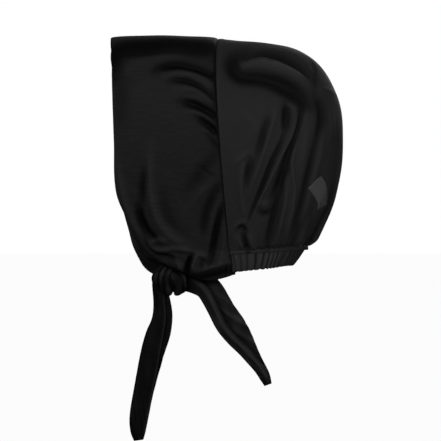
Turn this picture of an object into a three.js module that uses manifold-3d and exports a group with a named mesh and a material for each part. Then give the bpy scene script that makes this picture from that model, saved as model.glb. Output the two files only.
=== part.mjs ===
// A hijab underscarf cap, tied under the chin, in the form that it has on a head.
// A doubled jersey panel runs from the face edge to the crown seam, and a sheer chiffon panel
// goes on round the back to an elastic casing at the nape. The jersey's lower corners are drawn
// into a knot under the left side of the chin, and the two tie ends hang from it.
//
// Millimetres, +Z up. The wearer faces -X, and their left side is -Y. The origin is where the
// top of the head touches the inside of the crown, on the line of the crown seam.

import * as THREE from 'three';
import { mergeVertices } from 'three/addons/utils/BufferGeometryUtils.js';
import Module from 'manifold-3d';

const wasm = await Module();
wasm.setup();

// Driving dimensions of the cap.
const crownHeight = 222; // from the casing's front corners up to the top of the crown seam
const faceReach = 113; // from the crown seam forward to the face edge
const cornerWidth = 118; // across the cap at the casing's front corners
const faceWidth = 154; // across the face opening at the temples
const seamSwell = 36; // how far the crown seam swells out over the ears
const cornerReach = 12; // how far the casing's front corners lie behind the crown seam's top
const backReach = 118; // from the casing's front corners back to the furthest point
const seamBow = 5.5; // how far the crown seam bows forward over the ear
const crownRise = 3.2; // how far the jersey rises between the face edge and the seam
const seamSlant = 5; // how far the seam runs back beside the casing's end
const cornerEase = 0.5; // height at which the arches start, so that none shrinks to a point

// Cloth and clearance.
const jerseyWall = 2.2; // two layers of jersey
const chiffonWall = 1.4;
const seamGap = 0.3; // between pieces that are sewn together
const foldDepth = 6; // depth that the fold tables share out
const foldWidth = 10; // half width that the fold tables share out
const farSideShare = 0.75; // depth of the hidden side's folds, against the seen side's
const farSideDrift = 9; // how far they lie from the seen side's

// Nape casing with its elastic.
const napeReach = 67; // from the casing's front corners back to its lower edge at the nape
const napeFlare = 9; // how far its upper edge lies behind its lower one there
const napeRise = 5; // how far it rises from its front corners to the nape
const casingHeight = 19;
const casingWall = 3.6;
const gatherDepth = 1.3;
const gatherCount = 20;

// Lower edge of the jersey panel, rolled under between the casing and the knot.
const edgeDrop = 25; // from the casing's front corners down to the rolled edge
const edgeSag = 15; // how far the edge hangs below the line to the knot
const rollRise = 4.5; // how far the roll stands out
const rollTurn = 6; // how far the edge under it turns in

// Knot and ties.
const knotWidth = 34;
const knotHeight = 31;
const knotDepth = 27;
const knotForward = 50; // from the crown seam forward to the knot's middle
const knotDown = 249; // from the crown down to the knot's middle
const knotAside = 33; // from the middle of the cap to the knot's middle
const tieWall = 1.8; // one layer of a tie's doubled jersey
const tieWidth = 34; // width that the tie tables share out
const frontTieLength = 167;
const rearTieLength = 150;
const frontTieSwing = 6; // how far the tip lies out from the knot, away from the neck
const rearTieSwing = 32;

// Care label inside the back panel.
const labelWidth = 21;
const labelLength = 28;
const labelWall = 0.8;

const crownTop = jerseyWall; // the outside of the crown, with the inside at the origin
const cornerX = cornerReach;
const cornerZ = crownTop - crownHeight;
const cornerY = cornerWidth / 2;
const cornerShare = 8 / 9; // share of the way down the jersey's rear edge that is crown seam
const tuckShare = 0.94; // share of the way round the back where the chiffon turns in to the casing
const backDepth = cornerReach + backReach;
const rollMiddle = (1 + cornerShare) / 2; // share of the way down at which the roll stands out
const rollSpread = (1 - cornerShare) / 3;
const knotPlace = new THREE.Vector3(-knotForward, -knotAside, crownTop - knotDown);

// The face edge, from the crown (at 0) down one side to the knot (at 1). Columns: along, the
// share of the way; forward, a share of faceReach; aside, a share of half of faceWidth; down, a
// share of crownHeight; knot, how far the cloth is drawn from there to the knot.
const faceEdgeLeft = [
  { along: 0.0, forward: 1.0, aside: 0.0, down: -0.005, knot: 0 },
  { along: 0.12, forward: 1.005, aside: 0.38, down: 0.01, knot: 0 },
  { along: 0.26, forward: 1.0, aside: 0.76, down: 0.09, knot: 0 },
  { along: 0.42, forward: 0.985, aside: 0.985, down: 0.255, knot: 0 },
  { along: 0.58, forward: 0.965, aside: 1.0, down: 0.49, knot: 0 },
  { along: 0.74, forward: 0.93, aside: 0.9, down: 0.73, knot: 0 },
  { along: 0.85, forward: 0.85, aside: 0.78, down: 0.885, knot: 0.03 },
  { along: 0.94, forward: 0.9, aside: 0.71, down: 0.95, knot: 0.48 },
  { along: 1.0, forward: 0.9, aside: 0.7, down: 0.95, knot: 1 },
];
const faceEdgeRight = [
  { along: 0.0, forward: 1.0, aside: 0.0, down: -0.005, knot: 0 },
  { along: 0.12, forward: 1.005, aside: 0.38, down: 0.01, knot: 0 },
  { along: 0.26, forward: 1.0, aside: 0.76, down: 0.09, knot: 0 },
  { along: 0.4, forward: 0.985, aside: 0.985, down: 0.255, knot: 0 },
  { along: 0.54, forward: 0.965, aside: 1.0, down: 0.48, knot: 0 },
  { along: 0.67, forward: 0.93, aside: 0.93, down: 0.72, knot: 0 },
  { along: 0.78, forward: 0.84, aside: 0.76, down: 0.91, knot: 0.02 },
  { along: 0.88, forward: 0.84, aside: 0.72, down: 1.0, knot: 0.3 },
  { along: 0.95, forward: 0.9, aside: 0.59, down: 1.05, knot: 0.65 },
  { along: 1.0, forward: 0.9, aside: 0.5, down: 1.05, knot: 1 },
];
// Where the face edge's two ends go into the knot, as shares of the knot's sizes from its middle.
const knotEntries = {
  left: { forward: 0.22, aside: 0.0, up: 0.42 },
  right: { forward: 0.3, aside: 0.35, up: 0.0 },
};
// How far the lower edge leaves the straight line from the knot to the casing, at its middle.
const lowerBulge = {
  left: { aside: 0.02, down: 0.7 },
  right: { aside: 0.3, down: 0.95 },
};

// The back's outline, as arches that all stand on the casing's front corners. Columns: along,
// the share of the way from the crown seam to the nape; back and up, from the corners to the
// outline there, shares of backReach and crownHeight; swell, a share of seamSwell.
const backArches = [
  { along: 0.0, back: -0.098, up: 1.0, swell: 1.0 },
  { along: 0.12, back: 0.21, up: 0.981, swell: 0.98 },
  { along: 0.24, back: 0.54, up: 0.953, swell: 0.93 },
  { along: 0.33, back: 0.74, up: 0.9, swell: 0.87 },
  { along: 0.42, back: 0.9, up: 0.778, swell: 0.8 },
  { along: 0.52, back: 0.99, up: 0.644, swell: 0.72 },
  { along: 0.63, back: 1.0, up: 0.45, swell: 0.58 },
  { along: 0.74, back: 0.93, up: 0.257, swell: 0.42 },
  { along: 0.85, back: 0.81, up: 0.115, swell: 0.25 },
  { along: 0.94, back: 0.72, up: 0.03, swell: 0.1 },
];

// Folds on the jersey's left side, each a groove (depth below zero) or a ridge along a curve
// through three places. Columns: f, forward as a share of faceReach; d, down as a share of
// crownHeight; width and depth, shares of foldWidth and foldDepth.
const jerseyFolds = [
  { f0: 0.89, d0: 0.045, f1: 0.49, d1: 0.03, f2: 0.05, d2: 0.075, width: 0.7, depth: -0.4 },
  { f0: 0.57, d0: 0.125, f1: 0.28, d1: 0.12, f2: 0.03, d2: 0.185, width: 0.65, depth: -0.75 },
  { f0: 0.43, d0: 0.19, f1: 0.2, d1: 0.22, f2: 0.03, d2: 0.315, width: 0.6, depth: -0.6 },
  { f0: 0.37, d0: 0.305, f1: 0.17, d1: 0.335, f2: 0.01, d2: 0.385, width: 0.6, depth: -0.55 },
  { f0: -0.01, d0: 0.67, f1: 0.09, d1: 0.79, f2: 0.15, d2: 0.92, width: 0.8, depth: -0.45 },
  { f0: -0.02, d0: 0.8, f1: 0.02, d1: 0.93, f2: 0.07, d2: 1.05, width: 0.6, depth: -0.75 },
  { f0: 0.72, d0: 0.74, f1: 0.71, d1: 0.88, f2: 0.6, d2: 0.985, width: 0.75, depth: -0.8 },
  { f0: 0.62, d0: 0.71, f1: 0.56, d1: 0.86, f2: 0.4, d2: 0.965, width: 0.9, depth: 0.6 },
  { f0: 0.26, d0: 1.0, f1: 0.28, d1: 1.045, f2: 0.31, d2: 1.09, width: 0.6, depth: -0.8 },
];

// Folds on the chiffon's left side. Columns: b, behind the crown seam as a share of backDepth,
// and the rest as on the jersey.
const chiffonFolds = [
  { b0: 0.11, d0: 0.12, b1: 0.22, d1: 0.185, b2: 0.42, d2: 0.205, width: 0.9, depth: -1.1 },
  { b0: 0.4, d0: 0.2, b1: 0.56, d1: 0.25, b2: 0.72, d2: 0.35, width: 1.0, depth: -1.2 },
  { b0: 0.2, d0: 0.115, b1: 0.42, d1: 0.12, b2: 0.69, d2: 0.205, width: 0.75, depth: 0.9 },
  { b0: 0.235, d0: 1.0, b1: 0.32, d1: 0.76, b2: 0.5, d2: 0.51, width: 0.85, depth: -0.8 },
  { b0: 0.5, d0: 0.51, b1: 0.6, d1: 0.43, b2: 0.63, d2: 0.33, width: 0.9, depth: -0.7 },
  { b0: 0.16, d0: 0.94, b1: 0.22, d1: 0.74, b2: 0.37, d2: 0.5, width: 0.9, depth: 0.6 },
  { b0: 0.46, d0: 0.92, b1: 0.52, d1: 0.69, b2: 0.64, d2: 0.47, width: 0.8, depth: -0.7 },
  { b0: 0.6, d0: 0.98, b1: 0.63, d1: 0.76, b2: 0.72, d2: 0.38, width: 0.8, depth: -0.6 },
];

// The ties, from the knot to the tip. Columns: along, a share of the length; lean, the way that
// the tie runs there in degrees from straight down towards the back; width, a share of
// tieWidth; flap, the share of the width that the folded-over front layer covers; puff, how far
// its layers stand apart, a share of tieWall.
const frontTie = [
  { along: 0.0, lean: 6, width: 0.4, flap: 0.8, puff: 1.2 },
  { along: 0.1, lean: 8, width: 0.46, flap: 0.62, puff: 1.3 },
  { along: 0.17, lean: 2, width: 0.53, flap: 0.6, puff: 1.3 },
  { along: 0.25, lean: -12, width: 0.6, flap: 0.65, puff: 1.3 },
  { along: 0.33, lean: -18, width: 0.7, flap: 0.7, puff: 1.1 },
  { along: 0.5, lean: -13, width: 0.66, flap: 0.86, puff: 0.8 },
  { along: 0.68, lean: -12, width: 0.58, flap: 0.96, puff: 0.6 },
  { along: 0.86, lean: -8, width: 0.53, flap: 0.96, puff: 0.5 },
  { along: 0.95, lean: -3, width: 0.38, flap: 0.94, puff: 0.5 },
  { along: 1.0, lean: 2, width: 0.22, flap: 0.9, puff: 0.4 },
];
const rearTie = [
  { along: 0.0, lean: 84, width: 0.42, flap: 0.85, puff: 1.2 },
  { along: 0.12, lean: 68, width: 0.6, flap: 0.5, puff: 1.4 },
  { along: 0.2, lean: 36, width: 0.71, flap: 0.42, puff: 1.5 },
  { along: 0.36, lean: 29, width: 0.77, flap: 0.37, puff: 1.4 },
  { along: 0.48, lean: 35, width: 0.84, flap: 0.33, puff: 1.2 },
  { along: 0.6, lean: 36, width: 0.75, flap: 0.38, puff: 1.0 },
  { along: 0.72, lean: 33, width: 0.52, flap: 0.55, puff: 0.8 },
  { along: 0.85, lean: 34, width: 0.33, flap: 0.8, puff: 0.6 },
  { along: 0.94, lean: 25, width: 0.25, flap: 0.9, puff: 0.5 },
  { along: 1.0, lean: 20, width: 0.18, flap: 0.9, puff: 0.4 },
];

// Both ties. start is where a tie's middle line leaves the knot, as shares of the knot's sizes
// from its middle.
const ties = [
  {
    name: 'tie_end_front',
    table: frontTie,
    start: { back: -0.38, aside: 0.0, down: 0.2 },
    length: frontTieLength,
    swing: frontTieSwing,
  },
  {
    name: 'tie_end_rear',
    table: rearTie,
    start: { back: 0.44, aside: 0.25, down: 0.07 },
    length: rearTieLength,
    swing: rearTieSwing,
  },
];

// The knot: a round core, and wraps of cloth round it. Columns: back and up, the wrap's middle
// from the knot's; wide, thick, deep and high, its section and its ring, all as shares of the
// knot's sizes; tilt and swing, in degrees.
const knotCore = { wide: 0.84, deep: 0.72, high: 0.76 };
const knotWraps = [
  { back: -0.23, up: -0.02, wide: 0.5, thick: 0.36, deep: 0.62, high: 0.66, tilt: 6, swing: 8 },
  { back: 0.2, up: 0.03, wide: 0.44, thick: 0.34, deep: 0.56, high: 0.64, tilt: -20, swing: -12 },
];
const wrapPleat = 0.12; // how far a wrap's pleats stand out, a share of its half width

// The casing's section. Columns: up, a share of casingHeight from the lower edge; out, a share
// of casingWall from the wall's middle.
const casingSection = [
  { up: 0.5, out: -0.5 },
  { up: 1.0, out: -0.25 },
  { up: 1.0, out: 0.25 },
  { up: 0.88, out: 0.5 },
  { up: 0.5, out: 0.58 },
  { up: 0.12, out: 0.5 },
  { up: 0.0, out: 0.3 },
  { up: 0.0, out: -0.3 },
];

// The care label's middle on the chiffon: a share of the way from the crown seam to the casing,
// and one from the middle of the back round to the left corner (below zero).
const labelPlace = { across: 0.745, around: -0.36 };

// How finely each piece is cut into facets.
const jerseySteps = { across: 14, around: 54 };
const chiffonSteps = { across: 24, around: 48 };
const labelSteps = { across: 6, around: 3 };
const wrapSteps = { turns: 24, sides: 9 };
const foldPieces = 12; // straight pieces of a fold's curve
const casingStepsAPleat = 4;
const tieSteps = 18;

const radians = THREE.MathUtils.degToRad;
const lerp = THREE.MathUtils.lerp;

// A smooth value between the rows of a table, at a place from 0 to 1.
function read(table, column, along) {
  const last = table.length - 1;
  let row = 0;
  while (row < last - 1 && table[row + 1].along <= along) row += 1;
  const here = table[row];
  const next = table[row + 1];
  const before = table[Math.max(row - 1, 0)];
  const after = table[Math.min(row + 2, last)];
  const span = next.along - here.along;
  const share = (along - here.along) / span;
  const slopeHere = ((next[column] - before[column]) / (next.along - before.along)) * span;
  const slopeNext = ((after[column] - here[column]) / (after.along - here.along)) * span;
  const square = share * share;
  const cube = square * share;
  return (
    here[column] * (2 * cube - 3 * square + 1) +
    slopeHere * (cube - 2 * square + share) +
    next[column] * (3 * square - 2 * cube) +
    slopeNext * (cube - square)
  );
}

// A point of an arch over the casing's front corners, from its row's sizes in millimetres.
// across runs from -1 at the left corner over the middle to 1 at the right one.
function archPoint(arch, bow, across) {
  const rise = (1 - Math.abs(across)) * (Math.PI / 2);
  const ease = cornerEase / crownHeight;
  const scale = ease + (1 - ease) * Math.sin(rise);
  return new THREE.Vector3(
    cornerX + arch.back * scale - bow * Math.sin(2 * rise),
    Math.sign(across) * (cornerY * Math.cos(rise) + arch.swell * Math.sin(2 * rise)),
    cornerZ + arch.up * scale,
  );
}

// The arch of the back's outline at a share of the way from the crown seam to the nape.
function archAt(along) {
  return {
    back: read(backArches, 'back', along) * backReach,
    up: read(backArches, 'up', along) * crownHeight,
    swell: read(backArches, 'swell', along) * seamSwell,
  };
}

// The crown seam from the left lower edge (-1) to the right one (1).
function seamPoint(around) {
  const far = Math.abs(around);
  const share = Math.min(far / cornerShare, 1);
  const point = archPoint(archAt(0), seamBow, Math.sign(around) * share);
  const below = Math.max(far - cornerShare, 0) / (1 - cornerShare);
  point.x += seamSlant * Math.sin((below * Math.PI) / 2);
  point.z -= edgeDrop * below;
  return point;
}

// The face edge from the left side of the knot (-1) over the crown to its right side (1).
function faceEdgePoint(around) {
  const table = around < 0 ? faceEdgeLeft : faceEdgeRight;
  const entry = around < 0 ? knotEntries.left : knotEntries.right;
  const far = Math.abs(around);
  const point = new THREE.Vector3(
    -faceReach * read(table, 'forward', far),
    (Math.sign(around) * faceWidth * read(table, 'aside', far)) / 2,
    crownTop - crownHeight * read(table, 'down', far),
  );
  const end = new THREE.Vector3(
    knotPlace.x - entry.forward * knotWidth,
    knotPlace.y + entry.aside * knotDepth,
    knotPlace.z + entry.up * knotHeight,
  );
  return point.lerp(end, read(table, 'knot', far));
}

// The jersey without its folds. across runs from the face edge (0) to the crown seam (1).
function jerseyBase(across, around) {
  const side = around < 0 ? 'left' : 'right';
  const far = Math.abs(around);
  const point = faceEdgePoint(around).lerp(seamPoint(around), across);
  const middle = Math.sin(Math.PI * across);
  point.z += crownRise * Math.sqrt(middle) * (1 - far * far) ** 2;
  const edge = far ** 6;
  point.z -= edgeSag * lowerBulge[side].down * edge * Math.sin(Math.PI * across ** 0.6);
  point.y += Math.sign(around) * (faceWidth / 2) * lowerBulge[side].aside * edge * middle;
  return point;
}

// The chiffon without its folds. across runs from the crown seam (0) to the casing (1).
function chiffonBase(across, around) {
  const arch = archAt(Math.min(across, 1) * backArches.at(-1).along);
  const tuck = THREE.MathUtils.smoothstep(across, tuckShare, 1);
  arch.back = lerp(arch.back, napeReach + napeFlare, tuck);
  arch.swell *= 1 - tuck;
  const bow = seamBow * (1 - THREE.MathUtils.smoothstep(across, 0, 0.45));
  const point = archPoint(arch, bow, around);
  const nape = cornerZ + napeRise * Math.cos((around * Math.PI) / 2);
  point.z = lerp(point.z, nape, tuck);
  point.x += seamGap;
  return point;
}

// The outward normal of a surface, from its two directions. Near the crown seam it turns square
// to X, so that the two walls end face to face there.
function outward(surface, across, around, fromSeam) {
  const step = 1e-3;
  const low = Math.max(across - step, 0);
  const high = Math.min(across + step, 1);
  const left = Math.max(around - step, -1);
  const right = Math.min(around + step, 1);
  const along = surface(high, around).sub(surface(low, around));
  const round = surface(across, right).sub(surface(across, left));
  const free = along.cross(round).normalize();
  const square = new THREE.Vector3(1, 0, 0).cross(round).normalize();
  return square.lerp(free, THREE.MathUtils.smoothstep(fromSeam, 0, 0.1)).normalize();
}

// A fold's curve, through its three places in the side view.
function foldCurve(start, middle, end) {
  const control = middle.clone().multiplyScalar(2).sub(start.clone().add(end).divideScalar(2));
  return new THREE.QuadraticBezierCurve(start, control, end).getPoints(foldPieces);
}

// How far a fold moves the cloth at a place in the side view. It fades towards its ends.
function foldAt(fold, place) {
  let nearest = Infinity;
  let share = 0;
  for (let i = 0; i < foldPieces; i += 1) {
    const start = fold.curve[i];
    const run = fold.curve[i + 1].clone().sub(start);
    const along = THREE.MathUtils.clamp(place.clone().sub(start).dot(run) / run.lengthSq(), 0, 1);
    const distance = start.clone().addScaledVector(run, along).distanceTo(place);
    if (distance < nearest) {
      nearest = distance;
      share = (i + along) / foldPieces;
    }
  }
  const fade = Math.sin(Math.PI * THREE.MathUtils.clamp(share, 0.04, 0.96)) ** 0.6;
  return fold.depth * fade * Math.exp(-((nearest / fold.width) ** 2));
}

// The folds of one table as curves in millimetres. place turns a row's shares into a point.
function foldsOf(table, place) {
  return table.map((row) => ({
    curve: foldCurve(place(row, 0), place(row, 1), place(row, 2)),
    width: row.width * foldWidth,
    depth: row.depth * foldDepth,
  }));
}
const jerseyFoldCurves = foldsOf(
  jerseyFolds,
  (row, n) => new THREE.Vector2(-row['f' + n] * faceReach, crownTop - row['d' + n] * crownHeight),
);
const chiffonFoldCurves = foldsOf(
  chiffonFolds,
  (row, n) => new THREE.Vector2(row['b' + n] * backDepth, crownTop - row['d' + n] * crownHeight),
);

// How far all the folds move the cloth at a point. They fade out at the middle of the crown and
// back, and the hidden side has shallower ones, set a little apart.
function foldsAt(folds, point) {
  const drift = point.y > 0 ? farSideDrift : 0;
  const place = new THREE.Vector2(point.x + drift, point.z + drift);
  const moved = folds.reduce((sum, fold) => sum + foldAt(fold, place), 0);
  const fade = THREE.MathUtils.smoothstep(Math.abs(point.y), 0, cornerY / 2);
  return moved * fade * (point.y > 0 ? farSideShare : 1);
}

// The jersey's outer surface at a depth below it: its folds, and the rolled lower edge.
function jerseyPoint(across, around, below) {
  const base = jerseyBase(across, around);
  const normal = outward(jerseyBase, across, around, 1 - across);
  const far = Math.abs(around);
  const seamFade = THREE.MathUtils.smoothstep(1 - across, 0, 0.04);
  const hump = Math.exp(-(((far - rollMiddle) / rollSpread) ** 2));
  const turned = THREE.MathUtils.smoothstep(far, rollMiddle, 1);
  const roll = (rollRise * hump - rollTurn * turned) * seamFade;
  const folds = foldsAt(jerseyFoldCurves, base) * seamFade * (1 - turned);
  return base.addScaledVector(normal, folds + roll - below);
}

// The chiffon's outer surface at a depth below it, with its folds.
function chiffonPoint(across, around, below) {
  const base = chiffonBase(across, around);
  const normal = outward(chiffonBase, across, around, across);
  const fade =
    THREE.MathUtils.smoothstep(across, 0, 0.08) *
    THREE.MathUtils.smoothstep(1 - across, 0, 0.05) *
    THREE.MathUtils.smoothstep(1 - Math.abs(around), 0, 0.08);
  return base.addScaledVector(normal, foldsAt(chiffonFoldCurves, base) * fade - below);
}

// A closed wall from its outer and inner grids of points, with the four edges closed.
function wallGeometry(outer, inner) {
  const rows = outer.length - 1;
  const columns = outer[0].length - 1;
  const corners = [];
  const quad = (a, b, c, d) => corners.push(a, b, c, a, c, d);
  for (let i = 0; i < rows; i += 1)
    for (let j = 0; j < columns; j += 1) {
      quad(outer[i][j], outer[i + 1][j], outer[i + 1][j + 1], outer[i][j + 1]);
      quad(inner[i][j], inner[i][j + 1], inner[i + 1][j + 1], inner[i + 1][j]);
    }
  for (let i = 0; i < rows; i += 1) {
    quad(outer[i][0], inner[i][0], inner[i + 1][0], outer[i + 1][0]);
    quad(outer[i + 1][columns], inner[i + 1][columns], inner[i][columns], outer[i][columns]);
  }
  for (let j = 0; j < columns; j += 1) {
    quad(outer[0][j + 1], inner[0][j + 1], inner[0][j], outer[0][j]);
    quad(outer[rows][j], inner[rows][j], inner[rows][j + 1], outer[rows][j + 1]);
  }
  return mergeVertices(new THREE.BufferGeometry().setFromPoints(corners), 1e-4);
}

// A grid of points of a surface, with across and around in even steps.
function gridOf(surface, steps, below) {
  return Array.from({ length: steps.across + 1 }, (_, i) =>
    Array.from({ length: steps.around + 1 }, (_, j) =>
      surface(i / steps.across, (2 * j) / steps.around - 1, below),
    ),
  );
}

function frontPanelGeometry() {
  return wallGeometry(
    gridOf(jerseyPoint, jerseySteps, 0),
    gridOf(jerseyPoint, jerseySteps, jerseyWall),
  );
}

function backPanelGeometry() {
  return wallGeometry(
    gridOf(chiffonPoint, chiffonSteps, 0),
    gridOf(chiffonPoint, chiffonSteps, chiffonWall),
  );
}

// A solid swept from closed rings of points. Its flat ends follow the rings' sections.
function sweptGeometry(rings, sections) {
  const count = rings[0].length;
  const corners = [];
  for (let i = 0; i < rings.length - 1; i += 1)
    for (let j = 0; j < count; j += 1) {
      const k = (j + 1) % count;
      corners.push(rings[i][j], rings[i][k], rings[i + 1][k]);
      corners.push(rings[i][j], rings[i + 1][k], rings[i + 1][j]);
    }
  const start = endFaces(sections[0]);
  for (const [a, b, c] of start) corners.push(rings[0][c], rings[0][b], rings[0][a]);
  const end = rings.at(-1);
  for (const [a, b, c] of endFaces(sections.at(-1))) corners.push(end[a], end[b], end[c]);
  return mergeVertices(new THREE.BufferGeometry().setFromPoints(corners), 1e-4);
}

// A section's triangles, each running the same way round as the section.
function endFaces(section) {
  const clockwise = THREE.ShapeUtils.isClockWise(section);
  return THREE.ShapeUtils.triangulateShape(section, []).map(([a, b, c]) =>
    THREE.ShapeUtils.isClockWise([section[a], section[b], section[c]]) === clockwise
      ? [a, b, c]
      : [a, c, b],
  );
}

// The nape casing: a band in a half round from one front corner to the other, its wall drawn
// into pleats by the elastic.
function napeCasingGeometry() {
  const steps = gatherCount * casingStepsAPleat;
  const rings = Array.from({ length: steps + 1 }, (_, i) => {
    const turn = Math.PI * (i / steps - 0.5);
    const pleat = Math.cos((2 * Math.PI * i) / casingStepsAPleat) * (0.7 + 0.3 * Math.sin(i));
    const ends = THREE.MathUtils.smoothstep(Math.min(i, steps - i), 0, casingStepsAPleat);
    return casingSection.map(({ up, out }) => {
      const below = (chiffonWall + seamGap + casingHeight * (1 - up)) / edgeDrop;
      const start = cornerX + 2 * seamGap + seamSlant * Math.sin((below * Math.PI) / 2);
      const outer = out > 0 ? gatherDepth * pleat * ends : 0;
      const away = out * casingWall - casingWall / 2 + outer;
      return new THREE.Vector3(
        start + (cornerX + napeReach + napeFlare * up - start + away) * Math.cos(turn),
        (cornerY + away) * Math.sin(turn),
        cornerZ + napeRise * Math.cos(turn) - chiffonWall - seamGap - casingHeight * (1 - up),
      );
    });
  });
  const section = casingSection.map(
    ({ up, out }) => new THREE.Vector2(out * casingWall, up * casingHeight),
  );
  return sweptGeometry(rings, [section]);
}

// A solid for cutting and joining, from a geometry.
function solidOf(geometry) {
  const bare = new THREE.BufferGeometry().setFromPoints(pointsOf(geometry));
  const merged = mergeVertices(bare, 1e-4);
  return new wasm.Manifold(
    new wasm.Mesh({
      numProp: 3,
      vertProperties: merged.attributes.position.array,
      triVerts: new Uint32Array(merged.index.array),
    }),
  );
}

function pointsOf(geometry) {
  const loose = geometry.index ? geometry.toNonIndexed() : geometry;
  const position = loose.attributes.position;
  return Array.from({ length: position.count }, (_, i) =>
    new THREE.Vector3().fromBufferAttribute(position, i),
  );
}

// The geometry of a solid's largest body.
function geometryOf(solid) {
  const bodies = solid.decompose();
  const largest = bodies.reduce((best, body) => (body.volume() > best.volume() ? body : best));
  const mesh = largest.getMesh();
  return new THREE.BufferGeometry()
    .setAttribute('position', new THREE.BufferAttribute(mesh.vertProperties, 3))
    .setIndex(new THREE.BufferAttribute(mesh.triVerts, 1));
}

// A ring of gathered cloth round the knot's core. Its section is an oval with pleats.
function wrapGeometry(wrap, grow) {
  const { turns, sides } = wrapSteps;
  const rings = Array.from({ length: turns }, (_, i) => {
    const turn = (2 * Math.PI * i) / turns;
    return Array.from({ length: sides }, (_, j) => {
      const around = (2 * Math.PI * j) / sides;
      const pleat = 1 + wrapPleat * Math.cos(2 * around + turn);
      const thick = (wrap.thick * knotDepth) / 2 + grow;
      const wide = ((wrap.wide * knotWidth) / 2) * pleat + grow;
      const out = thick * Math.cos(around);
      return new THREE.Vector3(
        wide * Math.sin(around),
        Math.cos(turn) * ((wrap.deep * knotDepth) / 2 + out),
        Math.sin(turn) * ((wrap.high * knotHeight) / 2 + out),
      );
    });
  });
  const corners = [];
  for (let i = 0; i < turns; i += 1)
    for (let j = 0; j < sides; j += 1) {
      const a = rings[i][j];
      const b = rings[(i + 1) % turns][j];
      const c = rings[(i + 1) % turns][(j + 1) % sides];
      const d = rings[i][(j + 1) % sides];
      corners.push(a, b, c, a, c, d);
    }
  return new THREE.BufferGeometry()
    .setFromPoints(corners)
    .rotateY(radians(wrap.tilt))
    .rotateZ(radians(wrap.swing))
    .translate(
      knotPlace.x + wrap.back * knotWidth,
      knotPlace.y,
      knotPlace.z + wrap.up * knotHeight,
    );
}

function knotSolid(grow) {
  const core = new THREE.SphereGeometry(1, 18, 12)
    .scale(
      (knotCore.wide * knotWidth) / 2 + grow,
      (knotCore.deep * knotDepth) / 2 + grow,
      (knotCore.high * knotHeight) / 2 + grow,
    )
    .translate(knotPlace.x, knotPlace.y, knotPlace.z);
  return knotWraps.reduce(
    (solid, wrap) => solid.add(solidOf(wrapGeometry(wrap, grow))),
    solidOf(core),
  );
}

// A tie's section: a band doubled lengthwise, its front layer narrower than its back one, and
// open at the side away from the fold. x runs across and y towards the back layer.
function tieSection(width, flap, puff) {
  const half = width / 2;
  const gap = tieWall * puff;
  const lip = -half + Math.max(width * flap, 3 * tieWall);
  const outer = gap / 2 + tieWall;
  return [
    new THREE.Vector2(-half + tieWall * 0.6, outer * 0.8),
    new THREE.Vector2(0, outer * 1.15),
    new THREE.Vector2(half, outer),
    new THREE.Vector2(half, gap * 0.5),
    new THREE.Vector2(-half + tieWall * 1.6, gap * 0.25),
    new THREE.Vector2(-half + tieWall * 1.6, -gap * 0.25),
    new THREE.Vector2(lip, -outer + tieWall * 0.9),
    new THREE.Vector2(lip, -outer),
    new THREE.Vector2(lerp(-half, lip, 0.5), -outer * 1.1),
    new THREE.Vector2(-half + tieWall * 0.6, -outer * 0.8),
    new THREE.Vector2(-half, 0),
  ];
}

function tieGeometry({ table, start, length, swing }) {
  const place = new THREE.Vector3(
    knotPlace.x + start.back * knotWidth,
    knotPlace.y + start.aside * knotDepth,
    knotPlace.z - start.down * knotHeight,
  );
  const rings = [];
  const sections = [];
  for (let i = 0; i <= tieSteps; i += 1) {
    const along = i / tieSteps;
    const aside = -swing * (1 - (1 - along) ** 2);
    const lean = radians(read(table, 'lean', along));
    const across = new THREE.Vector3(Math.cos(lean), 0, Math.sin(lean));
    const down = new THREE.Vector3(Math.sin(lean), 0, -Math.cos(lean));
    const section = tieSection(
      tieWidth * read(table, 'width', along),
      read(table, 'flap', along),
      read(table, 'puff', along),
    );
    const ring = section.map(({ x, y }) =>
      place.clone().addScaledVector(across, x).add(new THREE.Vector3(0, aside + y, 0)),
    );
    sections.push(section);
    rings.push(ring);
    place.addScaledVector(down, length / tieSteps);
  }
  return sweptGeometry(rings, sections);
}

// The care label, a blank strip that lies along the inside of the back panel's left side.
function careLabelGeometry() {
  const { across: middle, around: side } = labelPlace;
  const step = 1e-3;
  const here = chiffonBase(middle, side);
  const lengthwise = chiffonBase(middle + step, side).distanceTo(here) / step;
  const widthwise = chiffonBase(middle, side + step).distanceTo(here) / step;
  const point = (across, around, below) =>
    chiffonPoint(
      middle + ((across - 0.5) * labelLength) / lengthwise,
      side + (around * labelWidth) / 2 / widthwise,
      chiffonWall + seamGap + below,
    );
  return wallGeometry(gridOf(point, labelSteps, 0), gridOf(point, labelSteps, labelWall));
}

function clothMaterial(color, roughness) {
  return new THREE.MeshStandardMaterial({ color, roughness, metalness: 0 });
}
const jersey = clothMaterial(0x1a1a1a, 0.72);
const chiffon = clothMaterial(0x222222, 0.82);
const labelTape = clothMaterial(0x8a8a8a, 0.6);

const cap = new THREE.Group();
function place(name, geometry, material) {
  const mesh = new THREE.Mesh(geometry, material);
  mesh.name = name;
  cap.add(mesh);
}

const grownKnot = knotSolid(seamGap);
const clearOfKnot = (geometry) => geometryOf(solidOf(geometry).subtract(grownKnot));

place('front_panel', clearOfKnot(frontPanelGeometry()), jersey);
place('back_panel', backPanelGeometry(), chiffon);
place('nape_casing', napeCasingGeometry(), chiffon);
place('chin_knot', geometryOf(knotSolid(0)), jersey);
for (const tie of ties) place(tie.name, clearOfKnot(tieGeometry(tie)), jersey);
place('care_label', careLabelGeometry(), labelTape);

export default cap;
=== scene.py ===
import math

import bmesh
import bpy
import numpy as np
from mathutils import Matrix, Vector


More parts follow.
